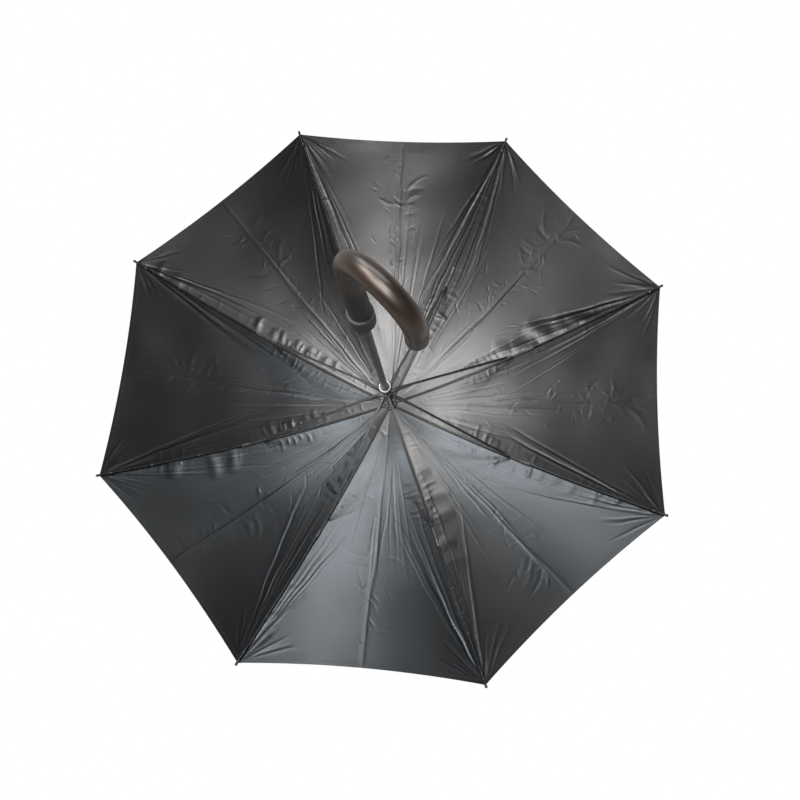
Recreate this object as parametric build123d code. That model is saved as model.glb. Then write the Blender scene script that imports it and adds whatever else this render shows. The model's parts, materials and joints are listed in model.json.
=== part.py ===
from build123d import *
import math
import os

# Stick umbrella with eight ribs, an automatic opening frame and a crook handle, standing open.
# Millimetres. Origin on the shaft's axis, in the middle of the straight grip. +Z runs up the shaft
# to the ferrule, and the crook lies in the XZ plane, on the +X side.

# ---- driving dimensions ----
RIB_COUNT = 8
FIRST_RIB_AZIMUTH = 27.6  # degrees from +X, about +Z
TIP_RADIUS = 520.0  # radius of the open canopy at the rib tips
TIP_PLANE_Z = 400.0
CANOPY_RISE = 222.0  # height of the rib hinges' curve above the tips
HEM_HOLLOW = 5.0  # how far the hem curves in between two tips
CLOTH = 0.5  # thickness of the cloth solids
CLOTH_LIFT = 2.9  # from a rib's centre line to the cloth's underside
SECTOR_GAP = 0.25  # half of the gap between two cloth sectors

PIVOT_RADIUS = 9.8  # hinge circle of the notch, the runner and the spring ring
WIRE_R = 0.55
WIRE_ROOM = 0.03
EYE_R = 1.9
EYE_WIDTH = 2.2
EYE_BORE_R = 0.62
SLOT_WIDTH = 2.6
SLOT_BOTTOM_R = 7.5
NARROW_ARM = 6.5  # length of each narrow arm from its eye to its channel
THROUGH = 9.0  # longer than any pivot, for the bores

STRETCHER_RADIUS = 270.0  # where a stretcher meets its rib
LUG_DROP = 5.2  # from a rib's centre line down to the stretcher's pivot
LUG_R = 2.0
SPLICE_RADIUS = 312.0
RIB_WIDTH = 3.4
RIB_HEIGHT = 3.4
SHEET = 0.5  # thickness of the rolled steel channels
SPLICE_R = 2.1
SPLICE_HALF_LENGTH = 7.0
OUTER_RIB_R = 1.5
SPLICE_GAP = 0.6  # free length between the rib's end and the outer rib's shoulder
OUTER_RIB_END = 511.0  # radius where the outer rib ends, in its cap
TIP_START = 504.0  # radius where the cap begins
TIP_LENGTH = 32.0  # of the cap, which stands out past the cloth's corner
TIP_SLEEVE_LENGTH = 27.0
TIP_BALL_R = 2.5

STRETCHER_WIDTH = 4.4
STRETCHER_HEIGHT = 3.2
BAR_SHEET = 0.6  # thickness of the stretchers' and struts' sheet
FORK_LENGTH = 9.0
STRUT_FORK_LENGTH = 7.0
STRUT_LUG_R = 1.7
STRUT_LUG_WIDTH = 2.0
STRUT_STATION = 46.0  # along the stretcher, from the runner
STRUT_LIFT = 3.8  # of the strut's pivot above the stretcher's centre line
STRUT_WIDTH = 3.8
STRUT_HEIGHT = 2.4
RIVET_R = 0.6
STRUT_RIVET_R = 0.55
RIVET_ROOM = 0.02
RIVET_HEAD_R = 1.1
RIVET_HEAD = 0.4

SHAFT_R = 6.0
SHAFT_BORE_R = 5.1
SHAFT_FIT = 0.05  # parts fixed on the shaft
SLIDING_FIT = 0.3  # parts sliding on the shaft
SHAFT_BOTTOM_Z = 5.0
SHAFT_TOP_Z = TIP_PLANE_Z + CANOPY_RISE + 16.0
SPIGOT_R = 4.0
SPIGOT_LENGTH = 34.0

NOTCH_R = 13.0
NOTCH_SPAN = (-6.0, 2.4)  # lowest and highest, from the ribs' hinge circle
RUNNER_R = 12.5
RUNNER_SPAN = (-4.5, 4.5)  # of the runner's crown, from the stretchers' hinge circle
RING_R = 12.2
RING_SPAN = (-3.5, 3.5)  # of the spring ring, from the struts' hinge circle
SPRING_COIL_R = 7.2
SPRING_WIRE_R = 0.55
SPRING_TURNS = 11
SPRING_ROOM = 1.0  # free height at each end
NECK_R = 9.2
NECK_LENGTH = 37.5
LIP_R = 10.85
LIP_HEIGHT = 5.0

COLLAR_R = 16.5
COLLAR_BORE_R = 11.5
COLLAR_TOP_Z = 84.0
COLLAR_LENGTH = 30.0
GRIP_TOP_R = 14.0
CROOK_R = 12.0  # radius of the crook's round section
BEND_CENTRE_Z = -61.0
BEND_RADIUS = 46.4
CROOK_END_LENGTH = 25.6
RUNNER_SOCKET_DEPTH = 8.5  # room in the grip for the lip of the closed runner
BUTTON_TRAVEL = 2.5
BUTTON_Z = COLLAR_TOP_Z - 15.0
BUTTON_PROUD = 3.0
BUTTON_DEPTH = 7.0
BUTTON_WIDTH = 8.6
BUTTON_HEIGHT = 16.0
BUTTON_ROOM = 0.3
FLANGE = 1.4  # thickness of the rim that keeps the button in
FLANGE_MARGIN = 1.0
LATCH_HEIGHT = 8.0

FERRULE_R = 5.0
FERRULE_LENGTH = 66.0
FERRULE_FOOT_R = 8.4
CAP_R = 17.0
CAP_HEIGHT = 6.6

STRAP_RIB = 6
STRAP_LENGTH = 96.0
STRAP_WIDTH = 14.0
STRAP_CENTRE = (405.0, 15.0)  # along the rib and beside it, seen from above
STRAP_THICKNESS = 0.8
STUD_R = 4.2
STUD_THICKNESS = 1.3
STACK_GAP = 0.1  # between the cloth, the strap and the stud

# ---- the frame's geometry in one rib's plane, as (radius, height) ----
STEP_ANGLE = 360 / RIB_COUNT
HALF_STEP = math.radians(STEP_ANGLE / 2)


def rib_point(radius, lift=0.0):
    """A point at a distance above the rib's parabolic centre line, square to it."""
    slope = math.atan(2 * CANOPY_RISE * radius / TIP_RADIUS**2)
    height = TIP_PLANE_Z + CANOPY_RISE * (1 - (radius / TIP_RADIUS) ** 2)
    return radius + lift * math.sin(slope), height + lift * math.cos(slope)


def slope_at(radius):
    """How far the rib slopes down at a radius, in degrees."""
    return math.degrees(math.atan(2 * CANOPY_RISE * radius / TIP_RADIUS**2))


NOTCH_Z = rib_point(PIVOT_RADIUS)[1]
LUG_X, LUG_Z = rib_point(STRETCHER_RADIUS, -LUG_DROP)
STRETCHER_LENGTH = math.hypot(LUG_X - PIVOT_RADIUS, LUG_Z - NOTCH_Z)
STRETCHER_RISE = math.degrees(math.asin((NOTCH_Z - LUG_Z) / STRETCHER_LENGTH))
RUNNER_Z = 2 * LUG_Z - NOTCH_Z
STRUT_LENGTH = math.hypot(STRUT_STATION, STRUT_LIFT)
STRUT_RISE = STRETCHER_RISE + math.degrees(math.atan2(STRUT_LIFT, STRUT_STATION))
RING_Z = RUNNER_Z + 2 * STRUT_LENGTH * math.sin(math.radians(STRUT_RISE))


# ---- helpers ----
def pin(x, z, radius, width, start=None):
    """A round bar across the rib's plane, centred on it, or from start outwards."""
    bar = Cylinder(radius, width, rotation=(90, 0, 0))
    shift = 0 if start is None else start + math.copysign(width / 2, start)
    return Pos(x, shift, z) * bar


def block(x0, x1, z0, z1, width):
    """A box across the rib's plane."""
    return Pos((x0 + x1) / 2, 0, (z0 + z1) / 2) * Box(x1 - x0, width, z1 - z0)


def ribbon(first, last, low, high, width):
    """A bar of constant section along the rib's curve, from low to high above its centre line."""
    stations = [first + (last - first) * i / 8 for i in range(9)]
    top = Spline([rib_point(r, high) for r in stations])
    bottom = Spline([rib_point(r, low) for r in reversed(stations)])
    outline = top + Line(top @ 1, bottom @ 0) + bottom + Line(bottom @ 1, top @ 0)
    return extrude(Plane.XZ * make_face(outline), width / 2, both=True)


def tilt(shape, x, z, degrees):
    """Lays a shape modelled along +X at a pivot, rising outwards by an angle."""
    return Pos(x, 0, z) * Rot(0, -degrees, 0) * shape


def rivet(x, z, width, radius=RIVET_R):
    """A rivet with two flat heads, outside a fork of the given width."""
    shank = pin(x, z, radius, width)
    heads = [pin(x, z, RIVET_HEAD_R, RIVET_HEAD, side * width / 2) for side in (-1, 1)]
    return shank + heads[0] + heads[1]


def wire_ring(radius):
    """An eight-sided ring of wire: each side is the hinge pin of one rib."""
    side = 2 * PIVOT_RADIUS * math.tan(HALF_STEP)
    corner_r = PIVOT_RADIUS / math.cos(HALF_STEP)
    ring = None
    for i in range(RIB_COUNT):
        bar = Rot(0, 0, i * STEP_ANGLE) * pin(PIVOT_RADIUS, 0, radius, side)
        corner = Rot(0, 0, (i + 0.5) * STEP_ANGLE) * Pos(corner_r, 0, 0) * Sphere(radius)
        ring = bar + corner if ring is None else ring + bar + corner
    return ring


def crown(radius, bore_r, low, high):
    """A disc with a slot for each rib, and with room for its wire ring at height 0."""
    disc = Pos(0, 0, (low + high) / 2) * Cylinder(radius, high - low)
    disc = chamfer(disc.edges().filter_by(GeomType.CIRCLE), 0.6)
    disc -= Cylinder(bore_r, 4 * (high - low))
    for i in range(RIB_COUNT):
        slot = block(SLOT_BOTTOM_R, radius + 2, low - 1, high + 1, SLOT_WIDTH)
        disc -= Rot(0, 0, i * STEP_ANGLE) * slot
    return disc - wire_ring(WIRE_R + WIRE_ROOM)


def turned(shape, azimuth):
    return Rot(0, 0, azimuth) * shape


def rib_azimuth(i):
    return FIRST_RIB_AZIMUTH + i * STEP_ANGLE


nodes = {}


def keep(name, *solids):
    """Stores one node: a group of separate solids."""
    nodes[name] = Compound(label=name, children=[s for shape in solids for s in shape.solids()])


# ---- ribs, outer ribs and tips ----
def rib():
    start = PIVOT_RADIUS + NARROW_ARM
    half = RIB_HEIGHT / 2
    end = SPLICE_RADIUS - SPLICE_GAP
    channel = ribbon(start, end, -half, half, RIB_WIDTH)
    channel -= ribbon(start - 1, end + 1, -half - 1, half - SHEET, RIB_WIDTH - 2 * SHEET)
    arm = ribbon(PIVOT_RADIUS, start + 6, -1.4, half, EYE_WIDTH)
    eye = pin(PIVOT_RADIUS, NOTCH_Z, EYE_R, EYE_WIDTH)
    lug = ribbon(STRETCHER_RADIUS - LUG_R, STRETCHER_RADIUS + LUG_R, -LUG_DROP, half, EYE_WIDTH)
    lug_eye = pin(LUG_X, LUG_Z, LUG_R, EYE_WIDTH)
    sleeve_start = SPLICE_RADIUS - 2 * SPLICE_HALF_LENGTH
    sleeve = ribbon(sleeve_start, end, -SPLICE_R, SPLICE_R, 2 * SPLICE_R)
    sleeve -= ribbon(sleeve_start - 1, end + 1, -half - 0.01, half - SHEET, RIB_WIDTH - 2 * SHEET)
    whole = channel + sleeve + arm + eye + lug + lug_eye
    whole -= pin(PIVOT_RADIUS, NOTCH_Z, EYE_BORE_R, THROUGH)
    return whole - pin(LUG_X, LUG_Z, EYE_BORE_R, THROUGH)


def outer_rib():
    first = SPLICE_RADIUS + SPLICE_GAP
    middle = (first + TIP_RADIUS) / 2
    ends = [rib_point(r) for r in (first, middle, OUTER_RIB_END)]
    path = ThreePointArc(*[(x, 0, z) for x, z in ends])
    rod = sweep(Plane(origin=path @ 0, z_dir=path % 0) * Circle(OUTER_RIB_R), path)
    shoulder = Plane(origin=path @ 0, z_dir=path % 0) * Cylinder(
        SPLICE_R, SPLICE_HALF_LENGTH, align=(Align.CENTER, Align.CENTER, Align.MIN)
    )
    return rod + shoulder


def rib_tip():
    """A cap on the rod's end: a ribbed sleeve with a ball, along the rib's slope."""
    bore_r = OUTER_RIB_R + 0.2
    top = TIP_SLEEVE_LENGTH
    profile = Polyline(
        (bore_r, 0), (2.3, 0), (TIP_BALL_R, 6), (2.1, 9), (2.1, top), (bore_r, top), (bore_r, 0)
    )
    sleeve = revolve(Plane.XZ * make_face(profile), Axis.Z)
    ball = Pos(0, 0, TIP_LENGTH - 3.2) * Sphere(TIP_BALL_R)
    ball -= Cylinder(bore_r, 2 * top)
    x, z = rib_point(TIP_START)
    lean = slope_at((TIP_START + TIP_RADIUS) / 2)
    return Pos(x, 0, z) * Rot(0, 90 + lean, 0) * (sleeve + ball)


# ---- stretchers and struts ----
def fork_bar(length, width, height, fork):
    """A channel open below, with its top cut away at the end to leave a fork round a pivot."""
    half = height / 2
    inside = width - 2 * BAR_SHEET
    ear = pin(length, 0, half, width)
    bar = block(NARROW_ARM, length, -half, half, width) + ear
    bar -= block(NARROW_ARM - 1, length + height, -half - 1, half - BAR_SHEET, inside)
    return bar - block(length - fork, length + height, -height, height, inside)


def eye_arm(length, half_height):
    return pin(0, 0, EYE_R, EYE_WIDTH) + block(0, length, -half_height, half_height, EYE_WIDTH)


def stretcher():
    half = STRETCHER_HEIGHT / 2
    bar = fork_bar(STRETCHER_LENGTH, STRETCHER_WIDTH, STRETCHER_HEIGHT, FORK_LENGTH)
    lug_start, lug_end = STRUT_STATION - STRUT_LUG_R, STRUT_STATION + STRUT_LUG_R
    lug = block(lug_start, lug_end, half - BAR_SHEET, STRUT_LIFT, STRUT_LUG_WIDTH)
    lug += pin(STRUT_STATION, STRUT_LIFT, STRUT_LUG_R, STRUT_LUG_WIDTH)
    bar += eye_arm(NARROW_ARM + 5, half - 0.2) + lug
    bar -= pin(0, 0, EYE_BORE_R, THROUGH)
    bar -= pin(STRUT_STATION, STRUT_LIFT, RIVET_R + RIVET_ROOM, THROUGH)
    bar -= pin(STRETCHER_LENGTH, 0, RIVET_R + RIVET_ROOM, THROUGH)
    end = rivet(STRETCHER_LENGTH, 0, STRETCHER_WIDTH)
    place = (PIVOT_RADIUS, RUNNER_Z, STRETCHER_RISE)
    return tilt(bar, *place), tilt(end, *place)


def strut():
    bar = fork_bar(STRUT_LENGTH, STRUT_WIDTH, STRUT_HEIGHT, STRUT_FORK_LENGTH)
    bar += eye_arm(NARROW_ARM + 4, STRUT_HEIGHT / 2)
    bar -= pin(0, 0, EYE_BORE_R, THROUGH)
    bar -= pin(STRUT_LENGTH, 0, STRUT_RIVET_R + RIVET_ROOM, THROUGH)
    end = rivet(STRUT_LENGTH, 0, STRUT_WIDTH, STRUT_RIVET_R)
    place = (PIVOT_RADIUS, RING_Z, -STRUT_RISE)
    return tilt(bar, *place), tilt(end, *place)


# ---- canopy ----
def half_panel(low, high, plan):
    """Cloth between the rib's plane and the middle of the next panel.

    The panel is straight across from rib to rib, so it is one curve pushed sideways. plan is the
    wanted outline seen from above, with the rib along +X."""
    narrow = math.cos(HALF_STEP)
    stations = [4.0] + [TIP_RADIUS * i / 12 for i in range(1, 13)] + [TIP_RADIUS + 12]
    raised = [[rib_point(r, lift) for r in stations] for lift in (high, low)]
    curves = [[(x * narrow, z) for x, z in row] for row in raised]
    top = Spline(curves[0])
    bottom = Spline(list(reversed(curves[1])))
    outline = top + Line(top @ 1, bottom @ 0) + bottom + Line(bottom @ 1, top @ 0)
    strip = extrude(Plane.XZ * make_face(outline), TIP_RADIUS / 2, both=True)
    strip = Rot(0, 0, STEP_ANGLE / 2) * strip
    column = Pos(0, 0, TIP_PLANE_Z - 60) * extrude(plan, CANOPY_RISE + 120)
    return strip & column


def canopy_sector():
    """Two half panels that meet in a ridge over the rib."""
    inner_r = PIVOT_RADIUS - 0.6
    middle_r = TIP_RADIUS * math.cos(HALF_STEP) - HEM_HOLLOW
    seam = Vector(math.cos(HALF_STEP), math.sin(HALF_STEP))
    aside = Vector(math.sin(HALF_STEP), -math.cos(HALF_STEP)) * SECTOR_GAP
    tip = Vector(TIP_RADIUS, 0)
    corner = seam * middle_r + aside
    quarter = (tip + corner) / 2 - seam * HEM_HOLLOW * 0.25
    plan = (
        Line((inner_r, 0), tip)
        + ThreePointArc(tip, quarter, corner)
        + Line(corner, seam * inner_r + aside)
        + Line(seam * inner_r + aside, (inner_r, 0))
    )
    half = half_panel(CLOTH_LIFT, CLOTH_LIFT + CLOTH, make_face(plan))
    return half + mirror(half, Plane.XZ)


def closing_strap():
    """The strap with its press stud, lying on the outside of the cloth beside the seam."""
    low = CLOTH_LIFT + CLOTH + STACK_GAP
    high = low + STRAP_THICKNESS
    x, y = STRAP_CENTRE
    plan = Pos(x, y) * SlotOverall(STRAP_LENGTH, STRAP_WIDTH)
    stud_low = high + STACK_GAP
    stud = Pos(x + STRAP_LENGTH / 2 - 11, y) * Circle(STUD_R)
    return half_panel(low, high, plan), half_panel(stud_low, stud_low + STUD_THICKNESS, stud)


# ---- the rest of the frame ----
def shaft():
    tube = Pos(0, 0, SHAFT_BOTTOM_Z) * Cylinder(
        SHAFT_R, SHAFT_TOP_Z - SHAFT_BOTTOM_Z, align=(Align.CENTER, Align.CENTER, Align.MIN)
    )
    bore_top = NOTCH_Z - 8
    tube -= Pos(0, 0, SHAFT_BOTTOM_Z) * Cylinder(
        SHAFT_BORE_R, bore_top - SHAFT_BOTTOM_Z, align=(Align.CENTER, Align.CENTER, Align.MIN)
    )
    tube -= Pos(-SHAFT_R, 0, BUTTON_Z) * Box(4, 3, LATCH_HEIGHT + 4)
    spigot = Pos(0, 0, SHAFT_TOP_Z) * Cylinder(
        SPIGOT_R, SPIGOT_LENGTH, align=(Align.CENTER, Align.CENTER, Align.MIN)
    )
    return tube + spigot


def latch_spring():
    """A leaf in the shaft's bore, with the nose that holds the runner pressed flush in the slot."""
    leaf_length = 52.0
    leaf = Pos(-4.55, 0, BUTTON_Z - leaf_length / 2 + 8) * Box(0.6, 2.4, leaf_length)
    nose = Pos(-5.1, 0, BUTTON_Z) * Box(1.6, 2.4, LATCH_HEIGHT)
    foot = Pos(-3.2, 0, BUTTON_Z - leaf_length + 9) * Box(3.2, 2.4, 2)
    return leaf + nose + foot


NECK_TOP = RUNNER_SPAN[0] + 0.1


def runner():
    body = crown(RUNNER_R, SHAFT_R + SLIDING_FIT, *RUNNER_SPAN)
    neck = Pos(0, 0, NECK_TOP) * Cylinder(
        NECK_R, NECK_LENGTH, align=(Align.CENTER, Align.CENTER, Align.MAX)
    )
    neck -= Cylinder(SHAFT_R + SLIDING_FIT, 3 * NECK_LENGTH)
    neck -= Pos(-NECK_R, 0, -22) * Box(NECK_R, 5, 9)
    return body + neck


def runner_lip():
    profile = Polyline(
        (NECK_R + 0.05, 0),
        (LIP_R, 0),
        (LIP_R, LIP_HEIGHT - 1.2),
        (NECK_R + 0.6, LIP_HEIGHT),
        (NECK_R + 0.05, LIP_HEIGHT),
        (NECK_R + 0.05, 0),
    )
    ring = revolve(Plane.XZ * make_face(profile), Axis.Z)
    return Pos(0, 0, NECK_TOP - NECK_LENGTH) * ring


def opening_spring():
    low = RUNNER_Z + RUNNER_SPAN[1] + SPRING_ROOM
    height = RING_Z + RING_SPAN[0] - SPRING_ROOM - low
    path = Helix(height / SPRING_TURNS, height, SPRING_COIL_R)
    section = Plane(origin=path @ 0, z_dir=path % 0) * Circle(SPRING_WIRE_R)
    return Pos(0, 0, low) * sweep(section, path, is_frenet=True)


def canopy_cap():
    base = rib_point(PIVOT_RADIUS, CLOTH_LIFT + CLOTH)[1] + 0.6
    bore_r = SHAFT_R + SHAFT_FIT
    rim, shoulder = (CAP_R, 0), (8.2, CAP_HEIGHT)
    outline = (
        Line((bore_r, 0), rim)
        + ThreePointArc(rim, (14.5, 4.4), shoulder)
        + Line(shoulder, (bore_r, CAP_HEIGHT))
        + Line((bore_r, CAP_HEIGHT), (bore_r, 0))
    )
    return Pos(0, 0, base) * revolve(Plane.XZ * make_face(outline), Axis.Z)


def ferrule():
    bore = SPIGOT_R + SHAFT_FIT
    depth = SPIGOT_LENGTH + 0.5
    top = FERRULE_LENGTH
    outline = Polyline(
        (0, depth),
        (bore, depth),
        (bore, 0),
        (FERRULE_FOOT_R, 0),
        (FERRULE_FOOT_R, 2),
        (6.2, 5),
        (FERRULE_R, 14),
        (FERRULE_R, top),
        (0, top),
        (0, depth),
    )
    spike = revolve(Plane.XZ * make_face(outline), Axis.Z)
    spike = fillet(spike.edges().filter_by(GeomType.CIRCLE).sort_by(Axis.Z)[-1], 3.4)
    return Pos(0, 0, SHAFT_TOP_Z) * spike


# ---- handle ----
FLANGE_X = -COLLAR_R - BUTTON_PROUD + BUTTON_DEPTH - 1.0


def with_room(width, height):
    """A hole's width and height round a part of the button."""
    return width + 2 * BUTTON_ROOM, height + 2 * BUTTON_ROOM


def collar():
    low = COLLAR_TOP_Z - COLLAR_LENGTH
    ring = Pos(0, 0, low) * Cylinder(
        COLLAR_R, COLLAR_LENGTH, align=(Align.CENTER, Align.CENTER, Align.MIN)
    )
    ring = fillet(ring.edges().filter_by(GeomType.CIRCLE).sort_by(Axis.Z)[-1], 1.6)
    ring -= Pos(0, 0, COLLAR_TOP_Z) * Cylinder(COLLAR_BORE_R, 3 * COLLAR_LENGTH)
    window = (2 * (COLLAR_R - COLLAR_BORE_R), *with_room(BUTTON_WIDTH, BUTTON_HEIGHT))
    ring -= Pos(-COLLAR_R, 0, BUTTON_Z) * Box(*window)
    rim_width, rim_height = BUTTON_WIDTH + 2 * FLANGE_MARGIN, BUTTON_HEIGHT + 2 * FLANGE_MARGIN
    pocket = Box(
        FLANGE + BUTTON_TRAVEL + 1.5,
        *with_room(rim_width, rim_height),
        align=(Align.MIN, Align.CENTER, Align.CENTER),
    )
    return ring - Pos(FLANGE_X - BUTTON_ROOM, 0, BUTTON_Z) * pocket


def release_button():
    against = (Align.MIN, Align.CENTER, Align.CENTER)
    pad = Box(BUTTON_DEPTH, BUTTON_WIDTH, BUTTON_HEIGHT, align=against)
    pad = fillet(pad.edges().filter_by(Axis.X), 3.0)
    pad = fillet(pad.faces().sort_by(Axis.X)[0].edges(), 1.2)
    rim_width, rim_height = BUTTON_WIDTH + 2 * FLANGE_MARGIN, BUTTON_HEIGHT + 2 * FLANGE_MARGIN
    flange = Pos(FLANGE_X, 0, BUTTON_Z) * Box(FLANGE, rim_width, rim_height, align=against)
    return Pos(-COLLAR_R - BUTTON_PROUD, 0, BUTTON_Z) * pad + flange


def crook_handle():
    grip_top = COLLAR_TOP_Z - COLLAR_LENGTH
    outline = Polyline(
        (0, BEND_CENTRE_Z),
        (CROOK_R, BEND_CENTRE_Z),
        (GRIP_TOP_R, grip_top - 1.2),
        (GRIP_TOP_R - 0.6, grip_top),
        (0, grip_top),
        (0, BEND_CENTRE_Z),
    )
    grip = revolve(Plane.XZ * make_face(outline), Axis.Z)
    bend_axis = Axis((BEND_RADIUS, 0, BEND_CENTRE_Z), (0, -1, 0))
    bend = revolve(Pos(0, 0, BEND_CENTRE_Z) * Circle(CROOK_R), bend_axis, 180)
    end = Pos(2 * BEND_RADIUS, 0, BEND_CENTRE_Z) * Cylinder(
        CROOK_R, CROOK_END_LENGTH, align=(Align.CENTER, Align.CENTER, Align.MIN)
    )
    end = fillet(end.edges().filter_by(GeomType.CIRCLE).sort_by(Axis.Z)[-1], 9.0)
    whole = grip + bend + end
    whole -= Pos(0, 0, grip_top) * Cylinder(COLLAR_BORE_R + 0.3, 2 * RUNNER_SOCKET_DEPTH)
    return whole - Pos(0, 0, SHAFT_BOTTOM_Z - 0.3) * Cylinder(
        SHAFT_R + SHAFT_FIT, grip_top, align=(Align.CENTER, Align.CENTER, Align.MIN)
    )


# ---- the nodes ----
one_rib, one_outer_rib, one_tip = rib(), outer_rib(), rib_tip()
one_stretcher, one_strut = stretcher(), strut()
one_sector, strap = canopy_sector(), closing_strap()
for i in range(RIB_COUNT):
    azimuth = rib_azimuth(i)
    keep(f"rib_{i + 1}", turned(one_rib, azimuth))
    keep(f"outer_rib_{i + 1}", turned(one_outer_rib, azimuth))
    keep(f"rib_tip_{i + 1}", turned(one_tip, azimuth))
    keep(f"stretcher_{i + 1}", *[turned(s, azimuth) for s in one_stretcher])
    keep(f"strut_{i + 1}", *[turned(s, azimuth) for s in one_strut])
    on_sector = [one_sector, *strap] if i + 1 == STRAP_RIB else [one_sector]
    keep(f"canopy_sector_{i + 1}", *[turned(s, azimuth) for s in on_sector])

wire = turned(wire_ring(WIRE_R), FIRST_RIB_AZIMUTH)
notch = turned(crown(NOTCH_R, SHAFT_R + SHAFT_FIT, *NOTCH_SPAN), FIRST_RIB_AZIMUTH)
ring = turned(crown(RING_R, SHAFT_R + SLIDING_FIT, *RING_SPAN), FIRST_RIB_AZIMUTH)
keep("top_notch", Pos(0, 0, NOTCH_Z) * notch, Pos(0, 0, NOTCH_Z) * wire)
keep("spring_ring", Pos(0, 0, RING_Z) * ring, Pos(0, 0, RING_Z) * wire)
slider = turned(runner(), FIRST_RIB_AZIMUTH)
keep("runner", Pos(0, 0, RUNNER_Z) * slider, Pos(0, 0, RUNNER_Z) * wire)
keep("runner_lip", Pos(0, 0, RUNNER_Z) * runner_lip())
keep("opening_spring", opening_spring())
keep("shaft", shaft())
keep("latch_spring", latch_spring())
keep("canopy_cap", canopy_cap())
keep("ferrule", ferrule())
keep("collar", collar())
keep("release_button", release_button())
keep("crook_handle", crook_handle())

os.makedirs("parts", exist_ok=True)
for name, node in nodes.items():
    export_step(node, f"parts/{name}.step")
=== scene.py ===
import json
import math

import bpy
import numpy as np
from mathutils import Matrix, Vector


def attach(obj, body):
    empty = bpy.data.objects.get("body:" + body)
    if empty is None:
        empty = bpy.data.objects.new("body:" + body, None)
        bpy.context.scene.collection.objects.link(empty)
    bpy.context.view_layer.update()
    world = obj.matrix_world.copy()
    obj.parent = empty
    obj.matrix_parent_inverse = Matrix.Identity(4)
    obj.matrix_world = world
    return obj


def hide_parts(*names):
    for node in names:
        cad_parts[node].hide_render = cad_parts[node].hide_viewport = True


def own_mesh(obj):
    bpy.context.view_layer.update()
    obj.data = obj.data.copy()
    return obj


# A stick umbrella seen from below. The cloth, its ties and its strap are made here, around the
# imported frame. Metres, in the frame of the CAD: the origin is in the middle of the straight grip,
# and +Z runs up the shaft.

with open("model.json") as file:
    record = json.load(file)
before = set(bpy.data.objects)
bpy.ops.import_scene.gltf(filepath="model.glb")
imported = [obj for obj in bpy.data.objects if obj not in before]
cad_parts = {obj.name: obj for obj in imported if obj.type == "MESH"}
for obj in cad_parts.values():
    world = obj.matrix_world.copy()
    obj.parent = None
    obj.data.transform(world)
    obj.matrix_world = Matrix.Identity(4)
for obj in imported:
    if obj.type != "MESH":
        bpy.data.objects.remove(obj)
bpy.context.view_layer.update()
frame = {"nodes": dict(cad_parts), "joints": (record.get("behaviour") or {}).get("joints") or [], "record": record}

# ---- sizes ----
RIB_COUNT = 8
STEP = 2 * math.pi / RIB_COUNT
HALF_STEP = STEP / 2
TIP_RADIUS = 0.520  # rib tips of the open canopy
TIP_Z = 0.400
RISE = 0.222  # height of the ribs' parabola above the tips
HEM_HOLLOW = 0.005
CLOTH_LIFT = 0.00315  # middle of the cloth above a rib's centre line
CLOTH_HALF = 0.00025
GRIP_SHADE_FADE = (-0.040, -0.005)  # along Z, where the crook's bronze gives way to painted shade, black, on the straight grip
SEED = 20

joints = {j["name"]: j for j in frame["joints"]}
FOLD = "canopy_fold"


def rib_joint(i):
    """The joint that folds rib i, from 1."""
    return joints[FOLD if i == 1 else f"rib_{i}_fold"]


def rib_azimuth(i):
    x, y, _ = rib_joint((i - 1) % RIB_COUNT + 1)["pos_m"]
    return math.atan2(y, x)


splice = Vector(joints["outer_rib_1_flex"]["pos_m"])
SPLICE_RADIUS = math.hypot(splice.x, splice.y)


# ---- materials ----
def new_material(name, colour, roughness, **sockets):
    """A Principled material. colour is linear RGB; sockets sets other inputs by name."""
    m = bpy.data.materials.new(name)
    m.use_nodes = True
    shader = m.node_tree.nodes["Principled BSDF"]
    shader.inputs["Base Color"].default_value = (*colour, 1)
    shader.inputs["Roughness"].default_value = roughness
    for key, value in sockets.items():
        shader.inputs[key.replace("_", " ")].default_value = value
    return m, shader


def add(m, kind, **inputs):
    """A node with its inputs set by name, with spaces written as underscores."""
    node = m.node_tree.nodes.new(kind)
    for key, value in inputs.items():
        node.inputs[key.replace("_", " ")].default_value = value
    return node


def join(m, source, target):
    m.node_tree.links.new(source, target)


def noise(m, scale, detail=4.0, stretch=(1, 1, 1), rough=0.5):
    """Noise in object space, of the given scale, stretched along the axes."""
    where = m.node_tree.nodes.new("ShaderNodeTexCoord")
    mapping = add(m, "ShaderNodeMapping", Scale=stretch)
    join(m, where.outputs["Object"], mapping.inputs["Vector"])
    texture = add(m, "ShaderNodeTexNoise", Scale=scale, Detail=detail, Roughness=rough)
    join(m, mapping.outputs["Vector"], texture.inputs["Vector"])
    return texture.outputs["Fac"]


def spread(m, fac, low, high, start=0.3, end=0.7):
    """Maps a factor to a range of values."""
    ranged = add(m, "ShaderNodeMapRange", From_Min=start, From_Max=end, To_Min=low, To_Max=high)
    join(m, fac, ranged.inputs["Value"])
    return ranged.outputs["Result"]


def tint(m, shader, fac, dark, light, start=0.3, end=0.7):
    """Varies the base colour between two colours."""
    ramp = m.node_tree.nodes.new("ShaderNodeValToRGB")
    ramp.color_ramp.elements[0].position = start
    ramp.color_ramp.elements[1].position = end
    ramp.color_ramp.elements[0].color = (*dark, 1)
    ramp.color_ramp.elements[1].color = (*light, 1)
    join(m, fac, ramp.inputs["Fac"])
    join(m, ramp.outputs["Color"], shader.inputs["Base Color"])


def bump(m, shader, height, strength, distance):
    """Adds one layer of bump under the shader's normal."""
    node = add(m, "ShaderNodeBump", Strength=strength, Distance=distance)
    join(m, height, node.inputs["Height"])
    last = shader.inputs["Normal"]
    if last.is_linked:
        join(m, last.links[0].from_socket, node.inputs["Normal"])
    join(m, node.outputs["Normal"], last)


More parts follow.
